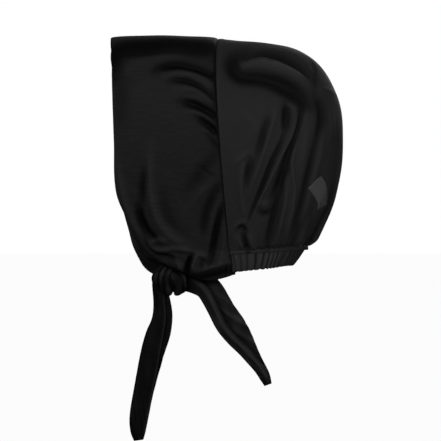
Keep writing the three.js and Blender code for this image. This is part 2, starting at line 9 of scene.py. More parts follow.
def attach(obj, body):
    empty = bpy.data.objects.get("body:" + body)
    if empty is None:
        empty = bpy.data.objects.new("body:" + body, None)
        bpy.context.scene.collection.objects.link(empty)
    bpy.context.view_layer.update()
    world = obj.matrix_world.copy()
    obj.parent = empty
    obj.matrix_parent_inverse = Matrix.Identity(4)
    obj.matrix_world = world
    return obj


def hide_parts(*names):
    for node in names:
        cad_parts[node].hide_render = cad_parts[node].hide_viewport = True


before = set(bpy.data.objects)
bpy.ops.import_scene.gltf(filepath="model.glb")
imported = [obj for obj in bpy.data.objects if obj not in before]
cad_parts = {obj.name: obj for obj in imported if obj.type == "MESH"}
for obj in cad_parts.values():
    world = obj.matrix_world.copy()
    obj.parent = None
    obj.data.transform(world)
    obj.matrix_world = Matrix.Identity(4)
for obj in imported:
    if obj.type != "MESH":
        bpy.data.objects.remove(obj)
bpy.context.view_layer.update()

# The view. The photograph looks squarely at the cap's left side from its own height, so the
# camera stands off on that side with a long lens. A pixel of its 441 by 441 frame is 1.05 mm,
# the crown seam's top is at column 218, and the top of the crown is at row 41.
mm = 0.001
pixel = 1.05 * mm
photo_side = 441
seam_column, crown_row = 218, 41
stand_off = 4.0
view_camera = bpy.data.objects.new("view_camera", bpy.data.cameras.new("view_camera"))
view_camera.data.lens = view_camera.data.sensor_width * stand_off / (photo_side * pixel)
view_camera.data.clip_end = 100
view_camera.location = (
    (photo_side / 2 - seam_column) * pixel,
    -stand_off,
    (crown_row - photo_side / 2) * pixel,
)
view_camera.rotation_euler = (math.radians(90), 0, 0)
bpy.context.scene.collection.objects.link(view_camera)
bpy.context.scene.camera = view_camera


# Front panel. Doubled black jersey, folded at the face edge and sewn at its rear edge to the
# chiffon. Its lower corners are drawn into the knot, and its lower edge between the knot and
# the casing rolls under. Folds drag across it from the seam and up from the knot.
crown_height = 222 * mm  # from the casing's front corners up to the top of the crown seam
face_reach = 113 * mm
face_width = 154 * mm
corner_y = 59 * mm
corner_x = 12 * mm
crown_top = 2.2 * mm
corner_z = crown_top - crown_height
seam_swell = 36 * mm
seam_bow = 5.5 * mm
seam_slant = 5 * mm
corner_ease = 0.5 / 222
corner_share = 8 / 9
crown_rise = 3.2 * mm
edge_drop = 25 * mm
edge_sag = 15 * mm
roll_rise = 4.5 * mm
roll_turn = 6 * mm
seam_dip = 0.5 * mm
seam_shade = 0.8
far_side_shift = 9 * mm
far_side_depth = 0.75
back_reach = 118 * mm
jersey_wall = 1.7 * mm
jersey_half_arc = 300 * mm
jersey_relief = 0.5 * mm
knot_width, knot_height, knot_depth = 34 * mm, 31 * mm, 27 * mm
knot_place = np.array([-50 * mm, -33 * mm, crown_top - 249 * mm])

# The face edge from the crown down to the knot: shares of face_reach, of half of face_width and
# of crown_height, and how far the cloth is drawn to the knot.
face_edge_left = {
    "along": (0.0, 0.12, 0.26, 0.42, 0.58, 0.74, 0.85, 0.94, 1.0),
    "forward": (0.99, 0.99, 0.982, 0.966, 0.95, 0.93, 0.81, 0.86, 0.9),
    "aside": (0.0, 0.38, 0.76, 0.985, 1.0, 0.9, 0.78, 0.71, 0.7),
    "down": (-0.005, 0.01, 0.09, 0.255, 0.49, 0.73, 0.885, 0.94, 0.95),
    "knot": (0, 0, 0, 0, 0, 0, 0.03, 0.5, 1),
}
face_edge_right = {
    "along": (0.0, 0.12, 0.26, 0.4, 0.54, 0.67, 0.78, 0.88, 0.95, 1.0),
    "forward": (0.99, 0.99, 0.982, 0.966, 0.952, 0.935, 0.84, 0.83, 0.87, 0.88),
    "aside": (0.0, 0.38, 0.76, 0.985, 1.0, 0.93, 0.76, 0.72, 0.59, 0.5),
    "down": (-0.005, 0.01, 0.09, 0.255, 0.48, 0.72, 0.91, 1.0, 1.05, 1.05),
    "knot": (0, 0, 0, 0, 0, 0, 0.02, 0.3, 0.65, 1),
}
knot_entry_left = knot_place + (-0.22 * knot_width, 0.0, 0.42 * knot_height)
knot_entry_right = knot_place + (-0.3 * knot_width, 0.35 * knot_depth, 0.0)

# The back's outline as arches that stand on the casing's front corners: shares of back_reach,
# crown_height and seam_swell, from the crown seam to the nape.
back_arches = {
    "along": (0.0, 0.12, 0.24, 0.33, 0.42, 0.52, 0.63, 0.74, 0.85, 0.94),
    "back": (-0.098, 0.21, 0.54, 0.745, 0.915, 1.0, 1.005, 0.945, 0.825, 0.735),
    "up": (1.0, 0.985, 0.96, 0.905, 0.785, 0.644, 0.45, 0.257, 0.11, 0.015),
    "swell": (1.0, 0.98, 0.93, 0.87, 0.8, 0.72, 0.58, 0.42, 0.25, 0.1),
}

# Folds as the photograph shows them, each along a line of columns and rows. left and right are the fold's
# half widths in mm on either side as the line runs, and depth is above zero on a ridge and below it in a
# groove, also in mm. Where given, a weight says how many times more a fold counts in the painted shade than
# in its lift.
jersey_folds = [
    dict(line=[(113, 80), (114, 64), (118, 54), (128, 50), (150, 48.5), (175, 46.5), (195, 48), (216, 51)],
         left=6, right=7.5, depth=-3.2, shade_weight=3),
    dict(line=[(125, 82), (132, 70), (144, 63), (163, 58.5), (187, 58)], left=4, right=4, depth=1.0),
    dict(line=[(127, 66), (123, 90), (122, 128)], left=8, right=8, depth=-0.6, shade_weight=1.6),
    dict(line=[(217, 66), (216, 90), (216, 120), (218, 150)], left=7, right=7, depth=-0.9, shade_weight=1.8),
    dict(line=[(158, 70), (173, 67), (187, 68), (203, 73), (217, 80)],
         left=3.4, right=6, depth=-4.2, shade_weight=1.6),
    dict(line=[(166, 76), (185, 75), (201, 80), (215, 89)], left=4, right=4, depth=2.8),
    dict(line=[(171, 82), (186, 83), (199, 89), (216, 102)], left=2.6, right=4, depth=-2.8, shade_weight=1.4),
    dict(line=[(178, 90), (195, 92), (206, 99), (216, 108)], left=4, right=4, depth=2.6),
    dict(line=[(182, 103), (194, 106), (204, 111), (218, 120)], left=3, right=5, depth=-3.8, shade_weight=1.4),
    dict(line=[(189, 112), (203, 117), (216, 127)], left=3.6, right=3.6, depth=2.2),
    dict(line=[(198, 118), (207, 125), (218, 137)], left=2.6, right=4.4, depth=-3.2, shade_weight=1.3),
    dict(line=[(202, 128), (210, 135), (217, 144)], left=2.6, right=2.6, depth=1.5),
    dict(line=[(206, 133), (212, 141), (219, 152)], left=2.6, right=3.2, depth=-1.1),
    dict(line=[(218, 152), (210, 163), (199, 177), (186, 192)], left=6, right=6, depth=-0.9),
    dict(line=[(196, 165), (206, 172), (217, 179)], left=1.2, right=1.8, depth=-0.6),
    dict(line=[(216, 180), (200, 195), (188, 211)], left=3, right=3, depth=1.2),
    dict(line=[(220, 183), (212, 198), (206, 214), (202, 238)], left=6, right=4, depth=-1.7),
    dict(line=[(221, 196), (214, 213), (210, 233), (207, 254)], left=3, right=3.4, depth=1.8),
    dict(line=[(222, 206), (217, 226), (213, 246), (209, 266)], left=3, right=3.6, depth=-3.4),
    dict(line=[(225, 222), (224, 240), (221, 256), (217, 268)], left=3, right=3, depth=1.8),
    dict(line=[(147, 166), (144, 186), (143, 209)], left=3.4, right=3.6, depth=-2.0),
    dict(line=[(139.5, 207), (143, 221), (149, 232), (159, 241)], left=3.4, right=4.2, depth=-4.3),
    dict(line=[(152, 146), (151, 183), (154, 206), (160, 223), (171, 236), (186, 247)],
         left=4.6, right=5, depth=3.2),
    dict(line=[(144, 236), (149, 246), (157, 252), (169, 255)], left=1.8, right=2.2, depth=-2.8),
    dict(line=[(152, 247), (153, 242), (160, 240), (170, 243)], left=3, right=3, depth=2.6),
    dict(line=[(161, 190), (166, 212), (177, 230), (193, 243)], left=7, right=7, depth=-0.6),
    dict(line=[(162, 232), (182, 243), (202, 249)], left=8, right=6, depth=1.2),
    dict(line=[(179, 200), (186, 221), (196, 236), (206, 246)], left=7, right=7, depth=0.9),
    dict(line=[(119, 160), (122, 185), (127, 205), (134, 223), (143, 239), (153, 251), (164, 258)],
         left=4, right=4, depth=2.6),
    dict(line=[(150, 246), (160, 249.5), (175, 248), (190, 250), (201, 253)], left=2.6, right=3, depth=2.8),
    dict(line=[(156, 254), (170, 255.5), (184, 260)], left=2, right=2.6, depth=-2.2),
    dict(line=[(192, 255), (189, 263), (188, 273)], left=3, right=2.4, depth=-6.4),
    dict(line=[(175, 255), (181, 264), (183, 275)], left=2.6, right=2.8, depth=2.4),
    dict(line=[(194, 273), (194, 262), (199, 254), (207, 256)], left=3, right=2.8, depth=3.8),
    dict(line=[(201, 269), (203, 260), (209, 262)], left=2, right=2, depth=-1.6),
    dict(line=[(189, 275), (202, 270), (216, 265), (230, 261)], left=3, right=3, depth=2.6),
    dict(line=[(193, 281), (211, 275), (226, 270)], left=2, right=2.2, depth=-2.0),
    dict(line=[(227, 262), (226, 268), (225, 274)], left=1.2, right=1.4, depth=-1.6),
    dict(line=[(231, 262), (231, 268), (231, 273)], left=1.2, right=1.2, depth=-1.5),
]


def cloth_grid(across_cells, around_cells):
    """A flat grid of cloth, and each corner's place on it from -1 to 1 both ways."""
    grid = bmesh.new()
    bmesh.ops.create_grid(grid, x_segments=across_cells, y_segments=around_cells, size=1)
    places = np.array([vert.co for vert in grid.verts])
    return grid, places[:, 0], places[:, 1]


def finish_piece(name, shape, points, cloth_across, cloth_around, materials, shade_paint_values=None):
    """Moves a grid's corners to their points, stores their painted fold shade, lays the cloth's own map on
    it and shows it.
    """
    for vert, point in zip(shape.verts, points):
        vert.co = point
    shape.verts.index_update()
    # Painted shade for each corner: below zero it darkens the colour in grooves, above zero it paints a
    # highlight on ridges.
    shade_paint_layer = shape.verts.layers.float.new("painted_fold_shade")
    if shade_paint_values is not None:
        for vert, depth in zip(shape.verts, shade_paint_values):
            vert[shade_paint_layer] = depth
    cloth_map = shape.loops.layers.uv.new("cloth")
    for face in shape.faces:
        face.smooth = True
        for loop in face.loops:
            here = loop.vert.index
            loop[cloth_map].uv = (cloth_across[here], cloth_around[here])
    return show(name, shape, materials)


def show(name, shape, materials):
    """Makes a piece of a shape, with its materials."""
    mesh = bpy.data.meshes.new(name)
    shape.to_mesh(mesh)
    shape.free()
    for material in materials:
        mesh.materials.append(material)
    piece = bpy.data.objects.new(name, mesh)
    bpy.context.scene.collection.objects.link(piece)
    return piece


def give_wall(piece, thickness, inner_slot=0):
    """Gives a sheet its thickness, inwards, with its edges closed."""
    wall = piece.modifiers.new("wall", "SOLIDIFY")
    wall.thickness = thickness
    wall.offset = -1
    wall.material_offset = inner_slot
    wall.material_offset_rim = inner_slot


def smoothstep(value, low, high):
    """0 up to low, 1 from high on, and a smooth rise between them."""
    share = np.clip((value - low) / (high - low), 0, 1)
    return share * share * (3 - 2 * share)


def read(table, column, along):
    """Smooth values between the rows of a table, at places from 0 to 1."""
    places, values = np.array(table["along"]), np.array(table[column], float)
    last = len(places) - 1
    row = np.clip(np.searchsorted(places, along, side="right") - 1, 0, last - 1)
    before, after = np.maximum(row - 1, 0), np.minimum(row + 2, last)
    span = places[row + 1] - places[row]
    share = (along - places[row]) / span
    slope_here = (values[row + 1] - values[before]) / (places[row + 1] - places[before]) * span
    slope_next = (values[after] - values[row]) / (places[after] - places[row]) * span
    return (
        values[row] * (2 * share**3 - 3 * share**2 + 1)
        + slope_here * (share**3 - 2 * share**2 + share)
        + values[row + 1] * (3 * share**2 - 2 * share**3)
        + slope_next * (share**3 - share**2)
    )


def arch_point(back, up, swell, bow, across):
    """Points of arches over the casing's front corners, from -1 at the left to 1 at the right."""
    rise = (1 - np.abs(across)) * math.pi / 2
    scale = corner_ease + (1 - corner_ease) * np.sin(rise)
    side = corner_y * np.cos(rise) + swell * np.sin(2 * rise)
    x = corner_x + back * scale - bow * np.sin(2 * rise)
    return np.stack([x, np.sign(across) * side, corner_z + up * scale], axis=1)


def back_arch(along):
    """The arch's reach, height and swell at places from the crown seam (0) to the nape (1)."""
    return (
        read(back_arches, "back", along) * back_reach,
        read(back_arches, "up", along) * crown_height,
        read(back_arches, "swell", along) * seam_swell,
    )


def seam_point(around):
    """The crown seam from the left lower edge (-1) to the right one (1)."""
    far = np.abs(around)
    share = np.minimum(far / corner_share, 1)
    point = arch_point(*back_arch(np.zeros_like(around)), seam_bow, np.sign(around) * share)
    below = np.maximum(far - corner_share, 0) / (1 - corner_share)
    point[:, 0] += seam_slant * np.sin(below * math.pi / 2)
    point[:, 2] -= edge_drop * below
    return point


def face_edge_point(around):
    """The face edge from the left side of the knot over the crown to its right side."""
    far = np.abs(around)
    sides = []
    for table, entry in ((face_edge_left, knot_entry_left), (face_edge_right, knot_entry_right)):
        x = -face_reach * read(table, "forward", far)
        y = np.sign(around) * face_width / 2 * read(table, "aside", far)
        z = crown_top - crown_height * read(table, "down", far)
        drawn = read(table, "knot", far)[:, None]
        sides.append(np.stack([x, y, z], axis=1) * (1 - drawn) + entry * drawn)
    return np.where((around < 0)[:, None], sides[0], sides[1])


def jersey_base(across, around):
    """The jersey without its folds, from the face edge (0) to the crown seam (1)."""
    far = np.abs(around)
    share = across[:, None]
    point = face_edge_point(around) * (1 - share) + seam_point(around) * share
    middle = np.sin(math.pi * np.clip(across, 0, 1))
    point[:, 2] += crown_rise * np.sqrt(middle) * (1 - far**2) ** 2
    edge = far**6
    # The two lower edges hang apart: how far each sags and swells out, and where it is lowest.
    near_side = around < 0
    sag = np.where(near_side, 0.9, 0.55)
    aside = np.where(near_side, 0.02, 0.3)
    lowest = np.where(near_side, 0.95, 0.6)
    point[:, 2] -= edge_sag * sag * edge * np.sin(math.pi * np.clip(across, 0, 1) ** lowest)
    point[:, 1] += np.sign(around) * face_width / 2 * aside * edge * middle
    return point


def outward(surface, across, around, from_seam):
    """A surface's outward normals. Near the crown seam they turn square to X."""
    nudge = 1e-3
    front, back = np.maximum(across - nudge, 0), np.minimum(across + nudge, 1)
    left, right = np.maximum(around - nudge, -1), np.minimum(around + nudge, 1)
    backwards = surface(back, around) - surface(front, around)
    sideways = surface(across, right) - surface(across, left)
    free = np.cross(backwards, sideways)
    free /= np.linalg.norm(free, axis=1)[:, None] + 1e-12
    square = np.cross([1.0, 0, 0], sideways)
    square /= np.linalg.norm(square, axis=1)[:, None] + 1e-12
    turn = smoothstep(from_seam, 0, 0.1)[:, None]
    mixed = square * (1 - turn) + free * turn
    return mixed / np.linalg.norm(mixed, axis=1)[:, None]


def fold_line(line):
    """A smooth line through a fold's places, in metres behind the seam and above the crown."""
    places = np.array([((c - seam_column) * pixel, (crown_row - r) * pixel) for c, r in line])
    run = np.concatenate([[0], np.cumsum(np.linalg.norm(np.diff(places, axis=0), axis=1))])
    table = {"along": run / run[-1], "x": places[:, 0], "z": places[:, 1]}
    share = np.linspace(0, 1, 8 * len(line))
    return np.stack([read(table, "x", share), read(table, "z", share)], axis=1)


def fold_lift(folds, points, shade_weight=False):
    """How far the folds lift the cloth at each point, seen from the side. For the painted shade, a fold's
    weight says how many times more it counts than its lift."""
    lift = np.zeros(len(points))
    places = points[:, [0, 2]]
    for fold in folds:
        line = fold_line(fold["line"])
        reach = 3 * max(fold["left"], fold["right"]) * mm
        near = np.all((places > line.min(0) - reach) & (places < line.max(0) + reach), axis=1)
        start, run = line[:-1], np.diff(line, axis=0)
        offset = places[near][:, None] - start[None]
        share = np.clip((offset * run).sum(2) / (run**2).sum(1), 0, 1)
        gap = offset - share[..., None] * run
        distance = np.linalg.norm(gap, axis=2)
        piece = distance.argmin(axis=1)
        every = np.arange(len(piece))
        cross = run[piece, 0] * gap[every, piece, 1] - run[piece, 1] * gap[every, piece, 0]
        width = np.where(cross > 0, fold["left"], fold["right"]) * mm
        along = (piece + share[every, piece]) / len(start)
        fade = np.sin(math.pi * np.clip(along, 0.03, 0.97)) ** 0.6
        depth = fold["depth"] * mm * (fold.get("shade_weight", 1) if shade_weight else 1)
        lift[near] += depth * fade * np.exp(-((distance[every, piece] / width) ** 2))
    return lift


def both_sides(folds, points, shade_weight=False):
    """The folds on both sides. The hidden side's are shallower and a little apart."""
    hidden = points[:, 1] > 0
    drift = np.where(hidden, far_side_shift, 0)
    moved = points + np.stack([drift, 0 * drift, drift], axis=1)
    fade = smoothstep(np.abs(points[:, 1]), 0, corner_y / (8 if shade_weight else 2))
    return fold_lift(folds, moved, shade_weight) * fade * np.where(hidden, far_side_depth, 1)


def crumple(first, second, size, seed, waves=7):
    """A soft uneven relief from -1 to 1 over two lengths in metres, made of crossing waves."""
    chance = np.random.default_rng(seed)
    total = np.zeros_like(first)
    for _ in range(waves):
        turn, phase = chance.uniform(0, 2 * math.pi, 2)
        length = size * chance.uniform(0.7, 1.6)
        total += np.sin(2 * math.pi * (first * math.cos(turn) + second * math.sin(turn)) / length + phase)
    return total / waves


def seam_line(from_seam):
    """1 on the seam's stitches, and nothing 3 mm away."""
    return np.exp(-((from_seam / (1.3 * mm)) ** 2))


def fold_shade_paint(lift, full):
    """Painted light and shade for the folds, from -1.2, painted shade deep in a groove, to 0.3, a painted
    highlight on a ridge.
    """
    depth = np.tanh(lift / full)
    return depth * np.where(depth > 0, 0.3, 1.2)


def jersey_point(across, around):
    """The jersey with its folds, its rolled lower edge and the dip along the crown seam."""
    base = jersey_base(across, around)
    normal = outward(jersey_base, across, around, 1 - across)
    far = np.abs(around)
    seam_fade = smoothstep(1 - across, 0, 0.04)
    roll_middle = (1 + corner_share) / 2
    hump = np.exp(-(((far - roll_middle) / ((1 - corner_share) / 3)) ** 2))
    turned = smoothstep(far, roll_middle, 1)
    hem = smoothstep(across, 0.02, 0.35)
    roll = (roll_rise * hump - roll_turn * turned) * seam_fade * hem
    lift = both_sides(jersey_folds, base) * seam_fade * (1 - turned)
    lift += jersey_relief * crumple(base[:, 0], base[:, 2], size=38 * mm, seed=3) * seam_fade
    dip = seam_dip * seam_line((1 - across) * face_reach)
    return base + normal * (lift + roll - dip)[:, None]


def nodes_of(owner):
    """The node tree of a material or a world, emptied."""
    owner.use_nodes = True
    owner.node_tree.nodes.clear()
    return owner.node_tree


def add_node(tree, kind, settings=(), inputs=()):
    """A node with its settings and its sockets' values."""
    node = tree.nodes.new(kind)
    for name, value in dict(settings).items():
        setattr(node, name, value)
    for name, value in dict(inputs).items():
        node.inputs[name].default_value = value
    return node


# Both cloths show their threads as a fine relief, crosswise streaks where yarns are uneven, and soft
# creases from wear. One group gives them all, on the cloth's own map in metres, and turns the painted fold
# shade into what the colour is multiplied by: painted shade in the grooves, painted highlights on the
# ridges.
def thread_group():
    group = bpy.data.node_groups.new("threads_and_creases", "ShaderNodeTree")
    sockets = group.interface
    sockets.new_socket("Cloth map", in_out="INPUT", socket_type="NodeSocketVector")
    for name in ("Threads", "Streaks", "Creases", "Painted shade"):
        sockets.new_socket(name, in_out="INPUT", socket_type="NodeSocketFloat")
    for name in ("Height", "Tone", "Shade"):
        sockets.new_socket(name, in_out="OUTPUT", socket_type="NodeSocketFloat")
    start, end = group.nodes.new("NodeGroupInput"), group.nodes.new("NodeGroupOutput")
    heights = []
    for name, scale, detail in (
        ("Threads", (1400, 2300, 1), 1),
        ("Streaks", (60, 560, 1), 3),
        ("Creases", (34, 26, 1), 4),
    ):
        stretch = add_node(group, "ShaderNodeMapping", inputs={"Scale": scale})
        noise = add_node(
            group, "ShaderNodeTexNoise", inputs={"Scale": 1, "Detail": detail, "Roughness": 0.55}
        )
        if name == "Creases":
            noise.inputs["Distortion"].default_value = 1.2
        centre = add_node(group, "ShaderNodeMath", {"operation": "SUBTRACT"})
        centre.inputs[1].default_value = 0.5
        share = add_node(group, "ShaderNodeMath", {"operation": "MULTIPLY"})
        group.links.new(start.outputs["Cloth map"], stretch.inputs["Vector"])
        group.links.new(stretch.outputs["Vector"], noise.inputs["Vector"])
        group.links.new(noise.outputs["Fac"], centre.inputs[0])
        group.links.new(centre.outputs[0], share.inputs[0])
        group.links.new(start.outputs[name], share.inputs[1])
        heights.append((share.outputs[0], centre.outputs[0]))
    fine = add_node(group, "ShaderNodeMath", {"operation": "ADD"})
    together = add_node(group, "ShaderNodeMath", {"operation": "ADD"})
    group.links.new(heights[0][0], fine.inputs[0])
    group.links.new(heights[1][0], fine.inputs[1])
    group.links.new(fine.outputs[0], together.inputs[0])
    group.links.new(heights[2][0], together.inputs[1])
    group.links.new(together.outputs[0], end.inputs["Height"])
    tone = add_node(group, "ShaderNodeMath", {"operation": "MULTIPLY_ADD", "use_clamp": True})
    tone.inputs[1].default_value = 1.6
    tone.inputs[2].default_value = 0.5
    group.links.new(heights[1][1], tone.inputs[0])
    group.links.new(tone.outputs[0], end.inputs["Tone"])
    # Painted shade and highlight: the colour is multiplied by 7 to the power of the painted fold shade.
    shade = add_node(group, "ShaderNodeMath", {"operation": "POWER"})
    shade.inputs[0].default_value = 7
    group.links.new(start.outputs["Painted shade"], shade.inputs[1])
    group.links.new(shade.outputs[0], end.inputs["Shade"])
    return group


threads_and_creases = thread_group()


def cloth_material(name, dark, light, roughness, sheen, specular, threads, streaks, creases):
    """A cloth whose tone, threads and creases come from the group, with painted shade in its grooves and
    painted highlights on its ridges. Its shader is returned too.
    """
    material = bpy.data.materials.new(name)
    tree = nodes_of(material)
    cloth_map = add_node(tree, "ShaderNodeUVMap", {"uv_map": "cloth"})
    cloth = add_node(tree, "ShaderNodeGroup", {"node_tree": threads_and_creases},
                     {"Threads": threads, "Streaks": streaks, "Creases": creases})
    colour = add_node(tree, "ShaderNodeMix", {"data_type": "RGBA"})
    colour.inputs["A"].default_value = (*dark, 1)
    colour.inputs["B"].default_value = (*light, 1)
    # The painted fold shade each corner carries: painted shade in grooves, painted highlights on ridges.
    folds = add_node(tree, "ShaderNodeAttribute", {"attribute_name": "painted_fold_shade"})
    shaded = add_node(tree, "ShaderNodeVectorMath", {"operation": "SCALE"})
    relief = add_node(tree, "ShaderNodeBump", inputs={"Strength": 1, "Distance": 1})
    shader = add_node(tree, "ShaderNodeBsdfPrincipled", inputs={
        "Roughness": roughness,
        "Sheen Weight": sheen,
        "Sheen Roughness": 0.4,
        "Specular IOR Level": specular,
    })
    output = add_node(tree, "ShaderNodeOutputMaterial")
    tree.links.new(cloth_map.outputs["UV"], cloth.inputs["Cloth map"])
    tree.links.new(cloth.outputs["Tone"], colour.inputs["Factor"])
    tree.links.new(cloth.outputs["Height"], relief.inputs["Height"])
    tree.links.new(folds.outputs["Fac"], cloth.inputs["Painted shade"])
    tree.links.new(colour.outputs["Result"], shaded.inputs[0])
    tree.links.new(cloth.outputs["Shade"], shaded.inputs["Scale"])
    tree.links.new(shaded.outputs[0], shader.inputs["Base Color"])
    tree.links.new(relief.outputs["Normal"], shader.inputs["Normal"])
    tree.links.new(shader.outputs["BSDF"], output.inputs["Surface"])
    return material, tree, shader


jersey, _, _ = cloth_material(
    "black_jersey", (0.0185, 0.018, 0.0185), (0.0295, 0.029, 0.0295),
    roughness=0.58, sheen=0.02, specular=0.09, threads=0.00012, streaks=0.00022, creases=0.0012,
)

# The grid is closer on the left, where the photograph shows the folds.
grid, x, y = cloth_grid(110, 300)
across, around = (x + 1) / 2, y - 0.2 * (1 - y**2)
panel_points = jersey_point(across, around)
# Painted shade in the folds' grooves and along the crown seam, and painted highlights on their ridges.
panel_lift = both_sides(jersey_folds, jersey_base(across, around), shade_weight=True)
panel_shade_paint = fold_shade_paint(panel_lift, full=3.2 * mm) - seam_shade * seam_line((1 - across) * face_reach)
front_panel = finish_piece(
    "front_panel_jersey", grid, panel_points, across * face_reach, around * jersey_half_arc,
    [jersey], panel_shade_paint,
)
give_wall(front_panel, jersey_wall)
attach(front_panel, "root")
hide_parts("front_panel")


# Back panel. One layer of sheer black chiffon, sewn to the jersey at the crown seam and gathered
# into the casing at the nape, so its folds rise from the casing and run together at the crown.
# It is slightly see-through, and a little of the dark inside and the label shows.
nape_reach = 67 * mm
nape_flare = 14.5 * mm
nape_rise = 5 * mm
tuck_share = 0.955
chiffon_depth = 360 * mm
chiffon_half_arc = 250 * mm
chiffon_wall = 0.9 * mm
chiffon_relief = 0.8 * mm
gather_height, gather_spacing = 1.9 * mm, 3.3 * mm
pleat_height, pleat_spacing = 1.3 * mm, 6.8 * mm
pleat_reach = 16 * mm
allowance_mark = 0.35 * mm

chiffon_folds = [
    dict(line=[(243, 57), (235, 61), (233, 69), (240, 77), (258, 79), (275, 82), (290, 88.5), (301, 97),
               (308, 107)], left=5.6, right=7.4, depth=-7.2),
    dict(line=[(266, 84), (281, 91), (293, 98), (303, 107)], left=5, right=6, depth=-3.4),
    dict(line=[(246, 61), (254, 57.5), (264, 56.5), (277, 59.5), (290, 65.5), (302, 74), (309, 82)],
         left=5, right=2.6, depth=-3.4),
    dict(line=[(242, 68.5), (250, 66), (263, 65.5), (277, 69), (294, 77.5), (307, 85.5)],
         left=2.6, right=2.2, depth=4.4),
    dict(line=[(306, 56), (313, 66), (315.5, 78), (314.5, 96)], left=1.3, right=4, depth=-1.2),
    dict(line=[(315, 90), (326, 90.5), (338, 96)], left=1.5, right=2.5, depth=1.0),
    dict(line=[(315, 98), (319, 110), (320, 124), (316, 140)], left=4.5, right=4, depth=-3.6),
    dict(line=[(317, 136), (311, 158), (307, 178), (301, 203), (296, 220), (292, 240)],
         left=3.4, right=4, depth=-2.8),
    dict(line=[(329, 104), (331, 126), (328, 146)], left=2.4, right=2.4, depth=1.2),
    dict(line=[(322, 130), (319, 152), (314, 172), (308, 196), (301, 222)], left=4, right=2.6, depth=1.8),
    dict(line=[(307, 110), (301, 126), (294, 146), (290.5, 161), (291, 176), (293, 190), (291, 210),
               (287, 228), (284, 246)], left=2.2, right=1.8, depth=3.0),
    dict(line=[(308, 118), (305, 138), (301, 160), (298, 182)], left=4, right=4, depth=1.4),
    dict(line=[(302, 104), (299, 122), (295, 138), (288, 153), (283, 170), (276, 188), (269, 204)],
         left=3.4, right=4, depth=-4.8),
    dict(line=[(288, 106), (294, 112), (295, 123), (290, 139), (282, 154), (275, 168), (265, 189),
               (254, 211), (247, 228)], left=2.2, right=2.2, depth=3.0),
    dict(line=[(285, 106), (285, 118), (284, 132)], left=4.2, right=3.8, depth=-4.4),
    dict(line=[(285, 130), (279, 146), (271, 162), (261, 188), (251, 213), (245.5, 229)],
         left=2.4, right=2, depth=-3.6),
    dict(line=[(268, 118), (264, 130), (260, 145), (256, 160)], left=3, right=3.4, depth=-2.4),
    dict(line=[(254, 160), (250, 172), (247, 182)], left=3, right=3, depth=-1.6),
    dict(line=[(274, 102), (273, 118), (268, 136), (262, 154), (255, 174), (248, 196)],
         left=3.4, right=2, depth=2.4),
    dict(line=[(289, 170), (282, 179), (278, 196), (272, 219), (268, 238), (266, 250)],
         left=2.4, right=3.4, depth=-3.8),
    dict(line=[(283, 184), (281, 200), (277, 220), (272, 240)], left=2, right=2, depth=-1.6),
    dict(line=[(287, 186), (284, 204), (280, 224), (276, 246)], left=2, right=2, depth=2.0),
    dict(line=[(257, 210), (264, 214), (271, 210)], left=3.4, right=3.8, depth=-2.2),
    dict(line=[(255, 202), (263, 205), (270, 202)], left=2.6, right=2.6, depth=1.2),
    dict(line=[(234, 231), (238, 224), (244, 223), (247, 229)], left=2.4, right=2.4, depth=1.8),
    dict(line=[(237, 229), (242, 227), (245, 232)], left=2.6, right=2.8, depth=-3.4),
    dict(line=[(242, 232), (245, 244), (250, 257)], left=2.4, right=2.2, depth=-3.8),
    dict(line=[(233, 236), (238, 240), (243, 249)], left=2, right=1.8, depth=1.8),
    dict(line=[(248, 233), (250, 243), (254, 252)], left=4, right=1.6, depth=1.8),
    dict(line=[(234, 167), (240, 160), (247, 155), (254, 157)], left=2.6, right=2, depth=1.6),
    dict(line=[(244, 160), (241, 178), (242, 200), (246, 222)], left=2, right=3.4, depth=2.4),
    dict(line=[(249, 160), (246.5, 173), (245.5, 190)], left=2.6, right=1.8, depth=-1.8),
    dict(line=[(240, 116), (248, 119), (254, 128), (252, 140)], left=4.5, right=4.5, depth=1.5),
    dict(line=[(301, 250), (307, 232), (315, 214)], left=3, right=3, depth=-1.4),
    dict(line=[(295, 252), (301, 234), (307, 218)], left=3, right=3, depth=1.4),
]


def chiffon_base(across, around):
    """The chiffon without its folds, from the crown seam (0) to the casing (1)."""
    back, up, swell = back_arch(np.minimum(across, 1) * back_arches["along"][-1])
    tuck = smoothstep(across, tuck_share, 1)
    back = back * (1 - tuck) + (nape_reach + nape_flare) * tuck
    swell = swell * (1 - tuck)
    bow = seam_bow * (1 - smoothstep(across, 0, 0.45))
    point = arch_point(back, up, swell, bow, around)
    nape = corner_z + nape_rise * np.cos(around * math.pi / 2)
    point[:, 2] = point[:, 2] * (1 - tuck) + nape * tuck
    point[:, 2] -= np.maximum(across - 1, 0) * chiffon_depth
    return point


def back_gathers(across, around):
    """Soft folds that rise from the casing over the middle of the back."""
    arc = around * math.pi / 2 * nape_reach + 30 * mm * (1 - across) * around
    wave = np.sin(arc / gather_spacing + 1.3 * np.sin(arc / (11 * mm)) + 0.6)
    rising = np.exp(-(((1 - across) / 0.26) ** 2)) * smoothstep(1 - across, 0, 0.05)
    return gather_height * wave * rising * (1 - smoothstep(np.abs(around), 0.34, 0.56))


def pleat_wave(arc):
    """Uneven pleats along the elastic, from -1 in the sharp valleys to 1 on the round ridges."""
    wander = 0.34 * np.sin(arc / (9.3 * mm) + 0.7) + 0.27 * np.sin(arc / (5.1 * mm))
    wander += 0.2 * np.sin(arc / (17 * mm))
    ridge = np.abs(np.sin(math.pi * arc / pleat_spacing + 2.4 * wander)) ** 0.7
    return (2 * ridge - 1) * (0.66 + 0.34 * np.sin(arc / (10.5 * mm) + 1.9))


